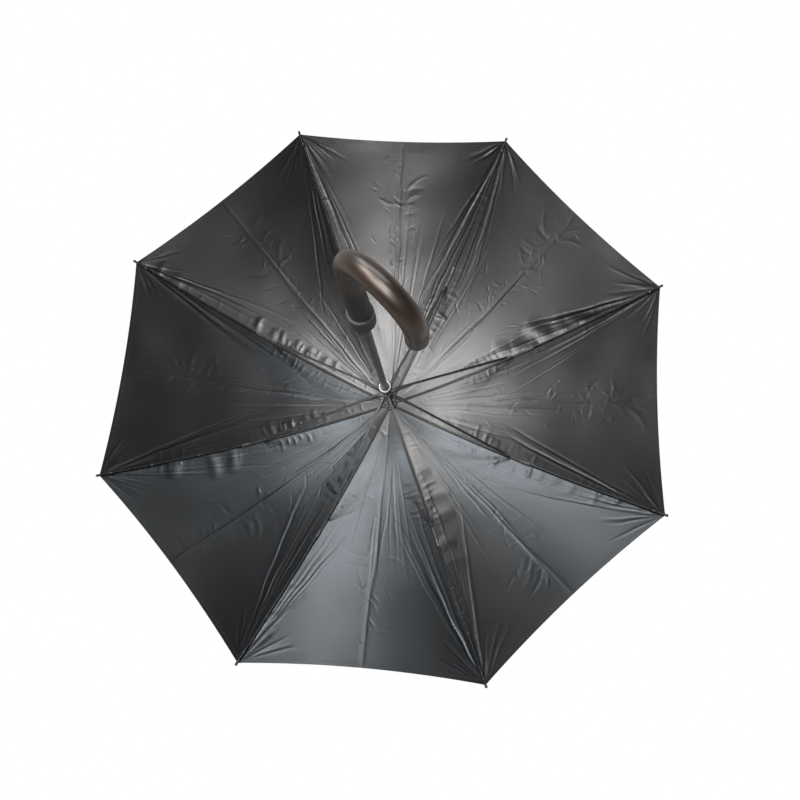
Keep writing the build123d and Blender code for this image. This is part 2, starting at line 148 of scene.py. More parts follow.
def weave(m, scale):
    """Crossed threads, from two bands of waves along the sheet's own width and length."""
    where = m.node_tree.nodes.new("ShaderNodeUVMap")
    where.uv_map = "cloth"
    bands = []
    for direction in ("X", "Y"):
        wave = add(m, "ShaderNodeTexWave", Scale=scale, Distortion=0.4, Detail=1.0)
        wave.bands_direction = direction
        join(m, where.outputs["UV"], wave.inputs["Vector"])
        bands.append(wave.outputs["Fac"])
    both = m.node_tree.nodes.new("ShaderNodeMath")
    both.operation = "MAXIMUM"
    join(m, bands[0], both.inputs[0])
    join(m, bands[1], both.inputs[1])
    return both.outputs[0]


WEAVE_SCALE = 420


def coated_cloth():
    """The inside: black taffeta with a satin coating."""
    m, shader = new_material("cloth_inside", (0.002, 0.002, 0.0022), 0.32, Specular_IOR_Level=0.7)
    tint(m, shader, noise(m, 9, 5), (0.0012, 0.0012, 0.0014), (0.003, 0.003, 0.0034))
    join(m, spread(m, noise(m, 14, 5), 0.31, 0.335), shader.inputs["Roughness"])
    bump(m, shader, weave(m, WEAVE_SCALE), 0.12, 0.0001)
    bump(m, shader, noise(m, 160, 5, rough=0.6), 0.08, 0.0006)
    return m


def woven_cloth():
    """The outside: plain black polyester."""
    m, shader = new_material("cloth_outside", (0.02, 0.02, 0.022), 0.62, Sheen_Weight=0.25)
    tint(m, shader, noise(m, 14, 5), (0.014, 0.014, 0.016), (0.026, 0.026, 0.029))
    join(m, spread(m, noise(m, 40, 5), 0.55, 0.7), shader.inputs["Roughness"])
    bump(m, shader, weave(m, WEAVE_SCALE), 0.35, 0.00015)
    return m


def thread():
    m, shader = new_material("thread", (0.012, 0.012, 0.013), 0.7, Sheen_Weight=0.2)
    tint(m, shader, noise(m, 900, 2), (0.008, 0.008, 0.009), (0.02, 0.02, 0.022))
    bump(m, shader, noise(m, 2500, 2), 0.4, 0.0001)
    return m


def painted_steel(name, colour, roughness, coat):
    """Black enamel on steel, with faint orange peel and worn, lighter patches."""
    m, shader = new_material(name, colour, roughness, Coat_Weight=coat, Coat_Roughness=0.25)
    lighter = [c * 2.2 + 0.001 for c in colour]
    tint(m, shader, noise(m, 160, 4), colour, lighter, 0.45, 0.75)
    patches = spread(m, noise(m, 300, 4), roughness - 0.06, roughness + 0.1)
    join(m, patches, shader.inputs["Roughness"])
    bump(m, shader, noise(m, 700, 3), 0.12, 0.0001)
    return m


def steel(name, colour):
    """Brushed steel, a little tarnished."""
    m, shader = new_material(name, colour, 0.4, Metallic=1.0)
    darker, lighter = ([c * share for c in colour] for share in (0.7, 1.2))
    tint(m, shader, noise(m, 60, 4, (1, 1, 12)), darker, lighter)
    join(m, spread(m, noise(m, 400, 4, (1, 1, 9)), 0.34, 0.5), shader.inputs["Roughness"])
    bump(m, shader, noise(m, 1200, 2, (1, 1, 8)), 0.1, 0.00005)
    return m


def plastic(name, colour, roughness, grain=0.25):
    """Moulded plastic with a fine spark-eroded grain."""
    m, shader = new_material(name, colour, roughness)
    lighter = [c * 1.5 + 0.003 for c in colour]
    tint(m, shader, noise(m, 120, 4), colour, lighter)
    patches = spread(m, noise(m, 200, 4), roughness - 0.05, roughness + 0.07)
    join(m, patches, shader.inputs["Roughness"])
    bump(m, shader, noise(m, 1800, 3), grain, 0.0001)
    return m


MIX_FACTOR, MIX_FIRST, MIX_SECOND, MIX_RESULT = 0, 6, 7, 2  # a Mix node's sockets for colours
BRONZE_DARK, BRONZE_LIGHT = (0.0045, 0.0035, 0.003), (0.019, 0.0115, 0.0075)
# Painted shade: the black that the crook's colour turns to on the straight grip, standing in for its shading.
GRIP_PAINTED_SHADE = (0.002, 0.002, 0.0021, 1)
GRIP_ROUGHNESS = 0.62


def lacquer():
    """The crook's dark bronze lacquer under a satin coat. On the straight grip it is matt, and painted shade turns
    its colour black.
    """
    m, shader = new_material(
        "crook_lacquer",
        (0.010, 0.007, 0.0055),
        0.36,
        Coat_Weight=0.2,
        Coat_Roughness=0.3,
        Specular_IOR_Level=0.4,
        Specular_Tint=(1.0, 0.86, 0.76, 1),
    )
    tint(m, shader, noise(m, 18, 6, (1, 1, 0.5)), BRONZE_DARK, BRONZE_LIGHT, 0.32, 0.72)
    where = m.node_tree.nodes.new("ShaderNodeTexCoord")
    parts = m.node_tree.nodes.new("ShaderNodeSeparateXYZ")
    join(m, where.outputs["Object"], parts.inputs["Vector"])
    # A mask of the painted shade on the straight grip, rising along Z over the fade. It also makes the grip matt.
    grip = spread(m, parts.outputs["Z"], 0.0, 1.0, *GRIP_SHADE_FADE)
    bronze = shader.inputs["Base Color"].links[0].from_socket
    mixed = m.node_tree.nodes.new("ShaderNodeMix")
    mixed.data_type = "RGBA"
    join(m, grip, mixed.inputs[MIX_FACTOR])
    join(m, bronze, mixed.inputs[MIX_FIRST])
    # painted shade on the straight grip
    mixed.inputs[MIX_SECOND].default_value = GRIP_PAINTED_SHADE
    join(m, mixed.outputs[MIX_RESULT], shader.inputs["Base Color"])
    rough = add(m, "ShaderNodeMapRange", To_Max=GRIP_ROUGHNESS)
    join(m, grip, rough.inputs["Value"])
    join(m, spread(m, noise(m, 70, 5), 0.30, 0.44), rough.inputs["To Min"])
    join(m, rough.outputs["Result"], shader.inputs["Roughness"])
    bump(m, shader, noise(m, 260, 4), 0.08, 0.0003)
    return m


FINISHES = {
    "shaft": painted_steel("shaft_enamel", (0.006, 0.006, 0.0066), 0.36, 0.2),
    "frame_steel": painted_steel("frame_enamel", (0.0035, 0.0035, 0.0038), 0.42, 0.05),
    "outer_rib": plastic("outer_rib_resin", (0.003, 0.003, 0.0034), 0.3, 0.1),
    "tip_plastic": plastic("tip_gloss", (0.005, 0.005, 0.0055), 0.25, 0.05),
    "notch_plastic": plastic("notch_moulding", (0.006, 0.006, 0.0065), 0.45),
    "runner_plastic": plastic("runner_moulding", (0.009, 0.009, 0.0095), 0.36),
    "bright_steel": steel("bright_steel", (0.26, 0.26, 0.27)),
    "ferrule": plastic("ferrule_moulding", (0.007, 0.007, 0.0075), 0.35),
    "grip_plastic": plastic("grip_moulding", (0.005, 0.005, 0.0055), 0.5),
    "crook": lacquer(),
}
CLOTH_INSIDE, CLOTH_OUTSIDE, THREAD = coated_cloth(), woven_cloth(), thread()
DARK_STEEL = steel("dark_steel", (0.05, 0.05, 0.052))

for row in frame["record"]["subparts"]:
    finish = FINISHES.get(row["material_slot"])
    node = frame["nodes"][row["node"]]
    if finish:
        node.data.materials.clear()
        node.data.materials.append(finish)


# ---- meshes ----
def mesh_object(name, points, faces, finishes, indices=None, normals=None, uvs=None):
    """A mesh from points and quads, with each face's material index and its corners' normals."""
    mesh = bpy.data.meshes.new(name)
    mesh.vertices.add(len(points))
    mesh.vertices.foreach_set("co", np.asarray(points, np.float32).ravel())
    mesh.loops.add(faces.size)
    mesh.loops.foreach_set("vertex_index", faces.astype(np.int32).ravel())
    mesh.polygons.add(len(faces))
    starts = np.arange(0, faces.size, faces.shape[1], dtype=np.int32)
    mesh.polygons.foreach_set("loop_start", starts)
    for finish in finishes:
        mesh.materials.append(finish)
    if indices is not None:
        mesh.polygons.foreach_set("material_index", indices.astype(np.int32))
    mesh.polygons.foreach_set("use_smooth", np.ones(len(faces), bool))
    if uvs is not None:
        layer = mesh.uv_layers.new(name="cloth")
        layer.data.foreach_set("uv", uvs[faces.ravel()].astype(np.float32).ravel())
    mesh.update(calc_edges=True)
    mesh.validate()
    if normals is not None:
        mesh.normals_split_custom_set(normals)
    piece = bpy.data.objects.new(name, mesh)
    bpy.context.scene.collection.objects.link(piece)
    return piece


def tube(name, path, radius, finish, closed=False, sides=10):
    """A round tube along a path of points."""
    points = np.array(path, float)
    ahead = np.roll(points, -1, 0) - np.roll(points, 1, 0)
    if not closed:
        ahead[0], ahead[-1] = points[1] - points[0], points[-1] - points[-2]
    ahead /= np.linalg.norm(ahead, axis=1)[:, None]
    spare = np.eye(3)[np.abs(ahead).sum(0).argmin()]
    side = np.cross(ahead, spare)
    side /= np.linalg.norm(side, axis=1)[:, None]
    other = np.cross(ahead, side)
    turn = np.linspace(0, 2 * math.pi, sides, endpoint=False)
    ring = side[:, None] * np.cos(turn)[:, None] + other[:, None] * np.sin(turn)[:, None]
    verts = (points[:, None] + radius * ring).reshape(-1, 3)
    count = len(points) if closed else len(points) - 1
    a = np.arange(count)[:, None] * sides + np.arange(sides)[None]
    b = np.arange(count)[:, None] * sides + (np.arange(sides)[None] + 1) % sides
    step = np.array([(k + 1) % len(points) for k in range(count)])[:, None] * sides
    c = step + (np.arange(sides)[None] + 1) % sides
    d = step + np.arange(sides)[None]
    faces = np.stack([a, b, c, d], -1).reshape(-1, 4)
    return mesh_object(name, verts, faces, [finish])


# ---- the canopy's shape ----
def lifted(radius, lift):
    """Points above the rib's parabola: (radius, height, slope)."""
    slope = np.arctan(2 * RISE * radius / TIP_RADIUS**2)
    height = TIP_Z + RISE * (1 - (radius / TIP_RADIUS) ** 2)
    return radius + lift * np.sin(slope), height + lift * np.cos(slope), slope


NARROW = math.cos(HALF_STEP)
SPREAD = math.tan(HALF_STEP)
APEX_U = 0.0093  # where the cloth starts, across the middle of a panel
SPLICE_U = SPLICE_RADIUS * NARROW
CORNER_REACH = 0.003  # of the cloth's corners, past the nominal tips
HEM_U = (TIP_RADIUS + CORNER_REACH) * NARROW
INNER_ROWS = 176
OUTER_ROWS = 130
HEM_ROWS = 12
COLUMNS = 84  # in half a panel
LAP_ROWS = 3
SAG_INNER, SAG_HEM = 0.055, 0.030  # of the half width, near the apex and at the hem
HEM_WIDTH = 0.008
HEM_BAND = 0.011  # depth of the finer rows at the hem
INNER_BIAS = 0.92  # below 1, rows are closer together away from the apex


def stations():
    """Shares of the way out: 0 to 1 up to the splices, and 1 to 2 from there to the hem."""
    hem_share = 1 - HEM_BAND / (HEM_U - SPLICE_U)
    inner = np.linspace(0, 1, INNER_ROWS + 1) ** INNER_BIAS
    outer = 1 + np.linspace(0, hem_share, OUTER_ROWS + 1)[1:]
    hem = 1 + np.linspace(hem_share, 1, HEM_ROWS + 1)[1:]
    return np.concatenate([inner, outer, hem])


STATIONS = stations()
SPLIT_ROW = INNER_ROWS
across = np.linspace(-1, 1, 2 * COLUMNS + 1)
hem_u = HEM_U - HEM_HOLLOW * (1 - across**2)
share = STATIONS[:, None]
U = np.where(
    share <= 1,
    APEX_U + (SPLICE_U - APEX_U) * share,
    SPLICE_U + (hem_u[None] - SPLICE_U) * (share - 1),
)
T = np.broadcast_to(across, U.shape)
W = T * U * SPREAD
OUT, UP, SLOPE = lifted(U / NARROW, CLOTH_LIFT)
OUT = OUT * NARROW
P = np.zeros_like(U)  # length along the cloth from the apex
P[1:] = np.cumsum(np.hypot(np.diff(OUT, axis=0), np.diff(UP, axis=0)), axis=0)
HALF_WIDTH = U * SPREAD
FROM_RIB = HALF_WIDTH * (1 - np.abs(T)) * NARROW


TENTH_MM = 1e-4
CENTRE_CREASES = 5
SMALL_CREASES, SOFT_FOLDS = 60, 6
HUB_PLEATS = 15
TIP_PLEATS, NARROW_TIP_PLEATS = 28, 19  # the narrow ones lie close to the seam


def ridge(p, q, start, end, width, height, bend=0.0):
    """A fold of cloth along a slightly curved line, fading at both ends."""
    along = np.array(end) - np.array(start)
    length = np.hypot(*along)
    along = along / length
    a = ((p - start[0]) * along[0] + (q - start[1]) * along[1]) / length
    d = (q - start[1]) * along[0] - (p - start[0]) * along[1] + bend * length * 4 * a * (1 - a)
    fade = (4 * np.clip(a, 0, 1) * np.clip(1 - a, 0, 1)) ** 0.9
    return height * fade * np.exp(-((d / width) ** 2))


def waves(rng, p, q, length, count=5):
    """Smooth random undulation of about the given wavelength, from -1 to 1."""
    total = np.zeros_like(p)
    for _ in range(count):
        angle = rng.uniform(0, math.pi)
        scale = 2 * math.pi / (length * rng.uniform(0.7, 1.5))
        way = p * math.cos(angle) + q * math.sin(angle)
        total += np.sin(scale * way + rng.uniform(0, 2 * math.pi))
    return total / count


def either(rng):
    return rng.choice([-1, 1])


def centre_fold(rng, p, q):
    """The sharp creases down the middle of a panel, where it is folded in storage."""
    wobble = 0.0012 * np.sin(p * 31 + rng.uniform(0, 6))
    height = either(rng) * 0.0006 * np.exp(-np.abs(q + wobble) / 0.0022) * np.clip(p / 0.05, 0, 1)
    for _ in range(CENTRE_CREASES):
        start, reach = rng.uniform(0.06, 0.34), rng.uniform(0.08, 0.20)
        lean = rng.uniform(-0.06, 0.06)
        offset = rng.uniform(-0.012, 0.012)
        end = (start + reach, offset + lean * reach)
        line = ridge(p, q, (start, offset), end, 0.0016, 1.0, 0.01)
        height += line * either(rng) * rng.uniform(2.5, 5) * TENTH_MM
    return height


def crumples(rng, p, q):
    """Small creases in all directions beside the storage fold, and a few soft folds across it."""
    height = np.zeros_like(p)
    for _ in range(SMALL_CREASES):
        at, side = rng.uniform(0.14, 0.50), either(rng)
        reach = rng.uniform(0.006, 0.030)
        lean = either(rng) * math.radians(rng.uniform(10, 80))
        start = (at, side * abs(rng.normal(0, 0.022)))
        end = (at + reach * math.cos(lean), start[1] + side * reach * math.sin(lean))
        width = rng.uniform(0.0011, 0.002)
        depth = either(rng) * rng.uniform(0.8, 2.2) * TENTH_MM
        height += ridge(p, q, start, end, width, depth, 0.06)
    centre, main = rng.uniform(0.34, 0.44), either(rng)
    for _ in range(SOFT_FOLDS):
        at, side = centre + rng.uniform(-0.05, 0.05), main if rng.uniform() < 0.75 else -main
        near, reach = rng.uniform(0.002, 0.014), rng.uniform(0.02, 0.05)
        end = (at + reach * rng.uniform(-0.3, 1.1), side * (near + reach))
        width = rng.uniform(0.0025, 0.0045)
        depth = either(rng) * rng.uniform(1, 2.4) * TENTH_MM
        height += ridge(p, q, (at, side * near), end, width, depth, 0.12)
    return height


def hub_pleats(rng, p, q):
    """Gathers that fan out from the apex."""
    height = np.zeros_like(p)
    for _ in range(HUB_PLEATS):
        lean = rng.uniform(-0.92, 0.92) * SPREAD
        near, far = rng.uniform(0.02, 0.07), rng.uniform(0.13, 0.44)
        width, bend = rng.uniform(0.0012, 0.0028), rng.uniform(-0.008, 0.008)
        line = ridge(p, q, (near, near * lean), (far, far * lean), width, 1.0, bend)
        height += line * either(rng) * rng.uniform(0.8, 2.6) * TENTH_MM
    return height


def tip_pleats(rng, p, q, side):
    """Pleats that fan out from a rib tip into the panel."""
    tip = (float(P[-1, -1]), side * HEM_U * SPREAD)
    back = math.atan2(-tip[1], -tip[0])
    height = np.zeros_like(p)
    for number in range(TIP_PLEATS):
        narrow = number < NARROW_TIP_PLEATS
        turn = math.radians(rng.uniform(0.8, 11) if narrow else rng.uniform(9, 52))
        reach = rng.uniform(0.08, 0.38) if narrow else rng.uniform(0.03, 0.10)
        angle = back + side * turn
        first, last = 0.006, 0.006 + reach
        start = (tip[0] + first * math.cos(angle), tip[1] + first * math.sin(angle))
        end = (tip[0] + last * math.cos(angle), tip[1] + last * math.sin(angle))
        width = rng.uniform(0.0013, 0.0028)
        depth = either(rng) * rng.uniform(1, 3.2) * TENTH_MM
        height += ridge(p, q, start, end, width, depth, 0.012)
    return height


def seam_puckers(rng, p, q, side, first, last, strength, pitch):
    """Short puckers square to the seam at one rib, where the thread draws the cloth in."""
    height = np.zeros_like(p)
    at = first
    while at < last:
        edge = at * SPREAD * side * 0.95
        reach = rng.uniform(0.012, 0.034)
        lean = rng.uniform(-0.15, 0.35) + 0.38
        end = (at + reach * math.sin(lean), edge - side * reach * math.cos(lean))
        size = strength * rng.uniform(0.25, 1.0) * (0.6 + 0.4 * math.sin(at * 40 + strength * 9e3))
        height += ridge(p, q, (at, edge), end, rng.uniform(0.0024, 0.0038), size, 0.05)
        at += pitch * rng.uniform(0.75, 1.4)
    return height


def buckles(rng, p, q, side, first, last, strength, reach, forward):
    """Larger soft folds that run from a seam into the panel, leaning to the hem or to the hub."""
    height = np.zeros_like(p)
    at = first
    while at < last:
        edge = at * SPREAD * side * 0.97
        length = reach * rng.uniform(0.6, 1.3)
        lean = forward * rng.uniform(0.3, 0.95)
        end = (at + length * math.sin(lean), edge - side * length * math.cos(lean))
        width = reach * rng.uniform(0.15, 0.26)
        height += ridge(p, q, (at, edge), end, width, strength * rng.uniform(0.5, 1.0), 0.05)
        at += 0.85 * reach * rng.uniform(0.6, 1.4)
    return height


# Puckers at the seams: where they start and end along the seam, their height and their pitch.
PUCKERS = [(0.05, 0.30, 0.0007, 0.0125), (0.30, 0.55, 0.0004, 0.016)]
# Larger folds, by panel: the side, where they start and end along the seam, their height, their
# reach, and 1 where they lean to the hem or -1 to the hub.
BUCKLES = {
    1: [(1, 0.33, 0.50, 0.0006, 0.04, 1)],
    2: [(1, 0.31, 0.42, 0.0014, 0.05, 1), (-1, 0.08, 0.20, 0.0007, 0.03, 1)],
    3: [(-1, 0.12, 0.24, 0.0008, 0.03, 1)],
    4: [(-1, 0.12, 0.30, 0.0008, 0.03, 1), (-1, 0.45, 0.53, 0.0011, 0.04, 1)],
    6: [(1, 0.27, 0.44, 0.0021, 0.07, -1)],
    7: [(1, 0.10, 0.22, 0.0006, 0.03, 1)],
    8: [(-1, 0.20, 0.50, 0.0007, 0.035, 1), (1, 0.14, 0.34, 0.0009, 0.05, 1)],
}


def wrinkles(j):
    """Height of the cloth's folds over panel j, square to it."""
    rng = np.random.default_rng(SEED + j)
    p = P + 0.0018 * waves(rng, P, W, 0.07)
    q = W + 0.0012 * waves(rng, P, W, 0.06)
    height = centre_fold(rng, p, q) + crumples(rng, p, q) + hub_pleats(rng, p, q)
    for side in (-1, 1):
        height += tip_pleats(rng, p, q, side)
        for first, last, strength, pitch in PUCKERS:
            height += seam_puckers(rng, p, q, side, first, last, strength, pitch)
    for side, first, last, strength, reach, forward in BUCKLES.get(j, []):
        height += buckles(rng, p, q, side, first, last, strength, reach, forward)
    height += 0.0005 * waves(rng, P, W, 0.13)
    pinned = np.clip(FROM_RIB / 0.004, 0, 1) * np.clip(P / 0.03, 0, 1)
    return height * pinned * (0.35 + 0.65 * np.clip((P[-1] - P) / 0.02, 0, 1))


def panel(j):
    """Panel j, from rib j to rib j + 1: points, shading normals and thickening directions."""
    height = wrinkles(j)
    sag = (SAG_INNER + (SAG_HEM - SAG_INNER) * U / HEM_U) * HALF_WIDTH * (1 - T**2)
    out = OUT + (height - sag) * np.sin(SLOPE)
    up = UP + (height - sag) * np.cos(SLOPE)
    middle = rib_azimuth(j) + HALF_STEP
    ahead = np.array([math.cos(middle), math.sin(middle)])
    aside = np.array([-math.sin(middle), math.cos(middle)])
    flat = out[..., None] * ahead + (T * out * SPREAD)[..., None] * aside
    points = np.concatenate([flat, up[..., None]], -1)
    down, over = np.gradient(points, axis=0), np.gradient(points, axis=1)
    normals = np.cross(down, over)
    normals /= np.linalg.norm(normals, axis=-1)[..., None]
    thick = normals.copy()
    for column, rib in ((0, j), (-1, j + 1)):
        a = rib_azimuth(rib)
        slope = SLOPE[:, column]
        outward = [np.sin(slope) * math.cos(a), np.sin(slope) * math.sin(a), np.cos(slope)]
        thick[:, column] = np.stack(outward, -1)
    return points, normals, thick


def half_thickness(first_row):
    """Half the cloth's thickness: more at the hem and the seams, less in the lap at a splice."""
    half = np.full(U.shape, CLOTH_HALF)
    to_hem = P[-1] - P
    half[to_hem < HEM_WIDTH] *= 2.0
    half[(to_hem > HEM_WIDTH - 0.002) & (to_hem < HEM_WIDTH - 0.001)] *= 0.6
    half[FROM_RIB < 0.0045] *= 1.7
    if first_row:
        half[:first_row] = CLOTH_HALF * 0.2
    return half


def shell_faces(rows, columns):
    """Quads of a closed shell round a grid: its upper side, its lower side and its rim."""
    index = np.arange(rows * columns).reshape(rows, columns)
    corners = [index[:-1, :-1], index[1:, :-1], index[1:, 1:], index[:-1, 1:]]
    upper = np.stack(corners, -1).reshape(-1, 4)
    lower = upper[:, ::-1] + index.size
    loop = np.concatenate([index[:-1, 0], index[-1, :-1], index[:0:-1, -1], index[0, :0:-1]])
    following = np.roll(loop, -1)
    rim = np.stack([loop, loop + index.size, following + index.size, following], -1)
    return upper, lower, rim


def beside(left, right, rows):
    """Rows of the halves of two panels on either side of a rib, as one grid."""
    return np.concatenate([left[rows, COLUMNS:], right[rows, 1 : COLUMNS + 1]], 1)


def sector(name, i, span, panels, lap):
    """The cloth on rib i over a span of rows: half of each panel beside it, as one closed shell."""
    first, last = span
    rows = slice(first - lap, last)
    left, right = panels[(i - 2) % RIB_COUNT + 1], panels[i]
    points, normals, thick = (beside(a, b, rows) for a, b in zip(left, right))
    half = half_thickness(first if lap else 0)
    half, width, run = (beside(grid, grid, rows) for grid in (half, W, P))
    row_count, column_count = half.shape
    top = points + thick * half[..., None]
    bottom = points - thick * half[..., None]
    verts = np.concatenate([top.reshape(-1, 3), bottom.reshape(-1, 3)])
    uvs = np.tile(np.stack([width, run], -1).reshape(-1, 2), (2, 1))
    upper, lower, rim = shell_faces(row_count, column_count)
    faces = np.concatenate([upper, lower, rim])
    finish = np.concatenate([np.zeros(len(upper)), np.ones(len(lower)), np.ones(len(rim))])
    # The seam over the rib is a sharp edge, so its points have one normal for each side.
    shade = normals.reshape(-1, 3)
    other = normals.copy()
    other[:, COLUMNS] = right[1][rows, 0]
    other_shade = other.reshape(-1, 3)
    column_of_face = np.tile(np.arange(column_count - 1), row_count - 1)
    past_seam = column_of_face >= COLUMNS
    up_normals = np.where(past_seam[:, None, None], other_shade[upper], shade[upper])
    down_normals = -up_normals[:, ::-1]
    edge = verts[rim]
    flat = np.cross(edge[:, 1] - edge[:, 0], edge[:, 3] - edge[:, 0])
    flat /= np.maximum(np.linalg.norm(flat, axis=1), 1e-12)[:, None]
    rim_normals = np.repeat(flat[:, None], 4, 1)
    corner_normals = np.concatenate([up_normals, down_normals, rim_normals]).reshape(-1, 3)
    finishes = [CLOTH_OUTSIDE, CLOTH_INSIDE]
    piece = mesh_object(name, verts, faces, finishes, finish, corner_normals, uvs)
    diagonal, crossing = points[1:, 1:] - points[:-1, :-1], points[1:, :-1] - points[:-1, 1:]
    area = float(np.linalg.norm(np.cross(diagonal, crossing), axis=-1).sum() / 2)
    size = (float(2 * width.max()), float(run.max() - run.min()))
    return piece, size, area


panels = {j: panel(j) for j in range(1, RIB_COUNT + 1)}
LAST_ROW = len(STATIONS)
for i in range(1, RIB_COUNT + 1):
    for name, span, body, lap in (
        ("inner", (0, SPLIT_ROW + 1), f"rib_{i}", 0),
        ("outer", (SPLIT_ROW, LAST_ROW), f"outer_rib_{i}", LAP_ROWS),
    ):
        piece, size, area = sector(f"canopy_{name}_{i}", i, span, panels, lap)
        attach(piece, body)
        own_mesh(piece)
        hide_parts(f"canopy_sector_{i}")


# ---- ties, stitches, strap and trim ----
RIB_FOOT = -0.0017  # underside of a channel rib, from its centre line
OUTER_RIB_R = 0.0015
TIE_THREAD_R = 0.00028
TIE_TURNS, TIE_PITCH = 3, 0.0007
INNER_TIE_HALF, OUTER_TIE_HALF = 0.0023, 0.0019  # half widths
INNER_TIES, OUTER_TIES = (0.085, 0.16, 0.235), (0.385, 0.455)
STITCH_LINE = 0.0065  # from the hem's edge
STITCH, STITCH_GAP = 0.0032, 0.0011
STITCH_THREAD_R = 0.00022
STITCH_ARCH = (0.0002, 0.00055, 0.00062, 0.00055, 0.0002)  # above the middle of the cloth
STRAP_RIB = 6
STRAP_SPAN = (0.357, 0.453)  # along the rib
STRAP_OFFSET = 0.015
STRAP_HALF_WIDTH = 0.007
STRAP_HALF_THICKNESS = 0.0004
STRAP_LIFT = 0.0011  # of its middle above the cloth
STUD_PLACE = 0.442
COLLAR_BOTTOM_Z = 0.054


def rib_section(i, radius, route):
    """Points of a route round rib i, given as (across, lift, shift along the rib)."""
    a = rib_azimuth(i)
    ahead = np.array([math.cos(a), math.sin(a), 0])
    aside = np.array([-math.sin(a), math.cos(a), 0])
    _, height, slope = lifted(radius, 0)
    up = ahead * math.sin(slope) + np.array([0, 0, math.cos(slope)])
    centre = ahead * radius + np.array([0, 0, height])
    along = ahead * math.cos(slope) - np.array([0, 0, math.sin(slope)])
    return np.array([centre + aside * x + up * lift + along * shift for x, lift, shift in route])


def tie_route(foot, half_width):
    """Three turns of thread from the cloth, under a rib, and back."""
    top = CLOTH_LIFT - 0.0002
    route = []
    for turn in range(TIE_TURNS):
        shift = (turn - 1) * TIE_PITCH
        route += [
            (-half_width, top, shift),
            (-half_width, foot + 0.0004, shift),
            (-half_width * 0.55, foot - 0.0003, shift + 0.0001),
            (half_width * 0.55, foot - 0.0003, shift + 0.0001),
            (half_width, foot + 0.0004, shift + 0.0002),
            (half_width, top, shift + 0.0003),
        ]
    return route


def merged(name, pieces):
    """One object from several."""
    bpy.ops.object.select_all(action="DESELECT")
    for piece in pieces:
        piece.select_set(True)
    bpy.context.view_layer.objects.active = pieces[0]
    bpy.ops.object.join()
    pieces[0].name = name
    return pieces[0]


def ties(name, i, radii, foot, half_width):
    """The ties that hold the cloth to rib i at some radii, as one piece."""
    route = tie_route(foot, half_width)
    paths = [rib_section(i, radius, route) for radius in radii]
    return merged(name, [tube(name, path, TIE_THREAD_R, THREAD, sides=8) for path in paths])


def on_panel(j, u, w):
    """The cloth's point and normal at u from the axis and w from the middle of panel j."""
    points, normals, _ = panels[j]
    column = (w / (u * SPREAD) + 1) * COLUMNS
    c = int(np.clip(math.floor(column), 0, 2 * COLUMNS - 1))
    row = np.interp(u, U[:, c], np.arange(len(U)))
    r = int(np.clip(math.floor(row), 0, len(U) - 2))
    fc, fr = column - c, row - r
    weights = (
        (r, c, (1 - fr) * (1 - fc)),
        (r + 1, c, fr * (1 - fc)),
        (r, c + 1, (1 - fr) * fc),
        (r + 1, c + 1, fr * fc),
    )
    point = sum(points[a, b] * weight for a, b, weight in weights)
    normal = sum(normals[a, b] * weight for a, b, weight in weights)
    return point, normal / np.linalg.norm(normal)


def beside_rib(i, x, y, lift):
    """A point above the outside of the cloth at (x, y) seen from above, with rib i along x."""
    u = x * math.cos(HALF_STEP) + y * math.sin(HALF_STEP)
    w = -x * math.sin(HALF_STEP) + y * math.cos(HALF_STEP)
    point, normal = on_panel(i, u, w)
    return point + normal * lift


def shell(name, grid_low, grid_high, finish):
    """A closed shell between two grids of points."""
    verts = np.concatenate([grid_high.reshape(-1, 3), grid_low.reshape(-1, 3)])
    return mesh_object(name, verts, np.concatenate(shell_faces(*grid_low.shape[:2])), [finish])


def closing_strap():
    """A folded band of the cloth with two lines of stitches, its free end rounded."""
    first, last = STRAP_SPAN
    low, high = [], []
    for x in np.linspace(first, last, 65):
        to_end = last - x
        into_end = max(0.0, 1 - to_end / STRAP_HALF_WIDTH)
        rounded = min(1, math.sqrt(max(0.0, 1 - into_end**2)) + 0.03)
        row_low, row_high = [], []
        for t in np.linspace(-1, 1, 19):
            y = STRAP_OFFSET + t * STRAP_HALF_WIDTH * rounded
            stitched = math.exp(-(((abs(t) - 0.78) / 0.07) ** 2))
            thick = STRAP_HALF_THICKNESS * (1 - 0.45 * stitched) * (1 - 0.5 * abs(t) ** 12)
            middle = STRAP_LIFT + 0.0002 * math.sin(x * 260)
            row_low.append(beside_rib(STRAP_RIB, x, y, middle - thick))
            row_high.append(beside_rib(STRAP_RIB, x, y, middle + thick))
        low.append(row_low)
        high.append(row_high)
    return shell("closing_strap", np.array(low), np.array(high), CLOTH_OUTSIDE)


def lathe(name, profile, base, axis, finish, steps=48):
    """A turned piece: profile is (radius, height) along an axis from a base point."""
    up = Vector(axis).normalized()
    turn = up.to_track_quat("Z", "Y").to_matrix()
    points = []
    for radius, height in profile:
        for k in range(steps):
            a = 2 * math.pi * k / steps
            ring_point = Vector((radius * math.cos(a), radius * math.sin(a), height))
            points.append(Vector(base) + turn @ ring_point)
    rows = len(profile)
    faces = []
    for r in range(rows - 1):
        for k in range(steps):
            n = (k + 1) % steps
            near, far = r * steps, (r + 1) * steps
            faces.append((near + k, near + n, far + n, far + k))
    return mesh_object(name, np.array(points), np.array(faces), [finish])


STUD_FOOT = 0.0013  # of the stud above the cloth, on top of the strap
STUD_PROFILE = [
    (0.0001, 0),
    (0.0040, 0),
    (0.0043, 0.0003),
    (0.0043, 0.0008),
    (0.0040, 0.0011),
    (0.0034, 0.0011),
    (0.0030, 0.0008),
    (0.0016, 0.0007),
    (0.0001, 0.0007),
]


def press_stud():
    """The cap of the press stud: a dished disc with a rolled rim."""
    base, normal = on_panel(
        STRAP_RIB,
        STUD_PLACE * math.cos(HALF_STEP) + STRAP_OFFSET * math.sin(HALF_STEP),
        -STUD_PLACE * math.sin(HALF_STEP) + STRAP_OFFSET * math.cos(HALF_STEP),
    )
    profile = [(radius, height + STUD_FOOT) for radius, height in STUD_PROFILE]
    return lathe("press_stud", profile, base, normal, FINISHES["bright_steel"])


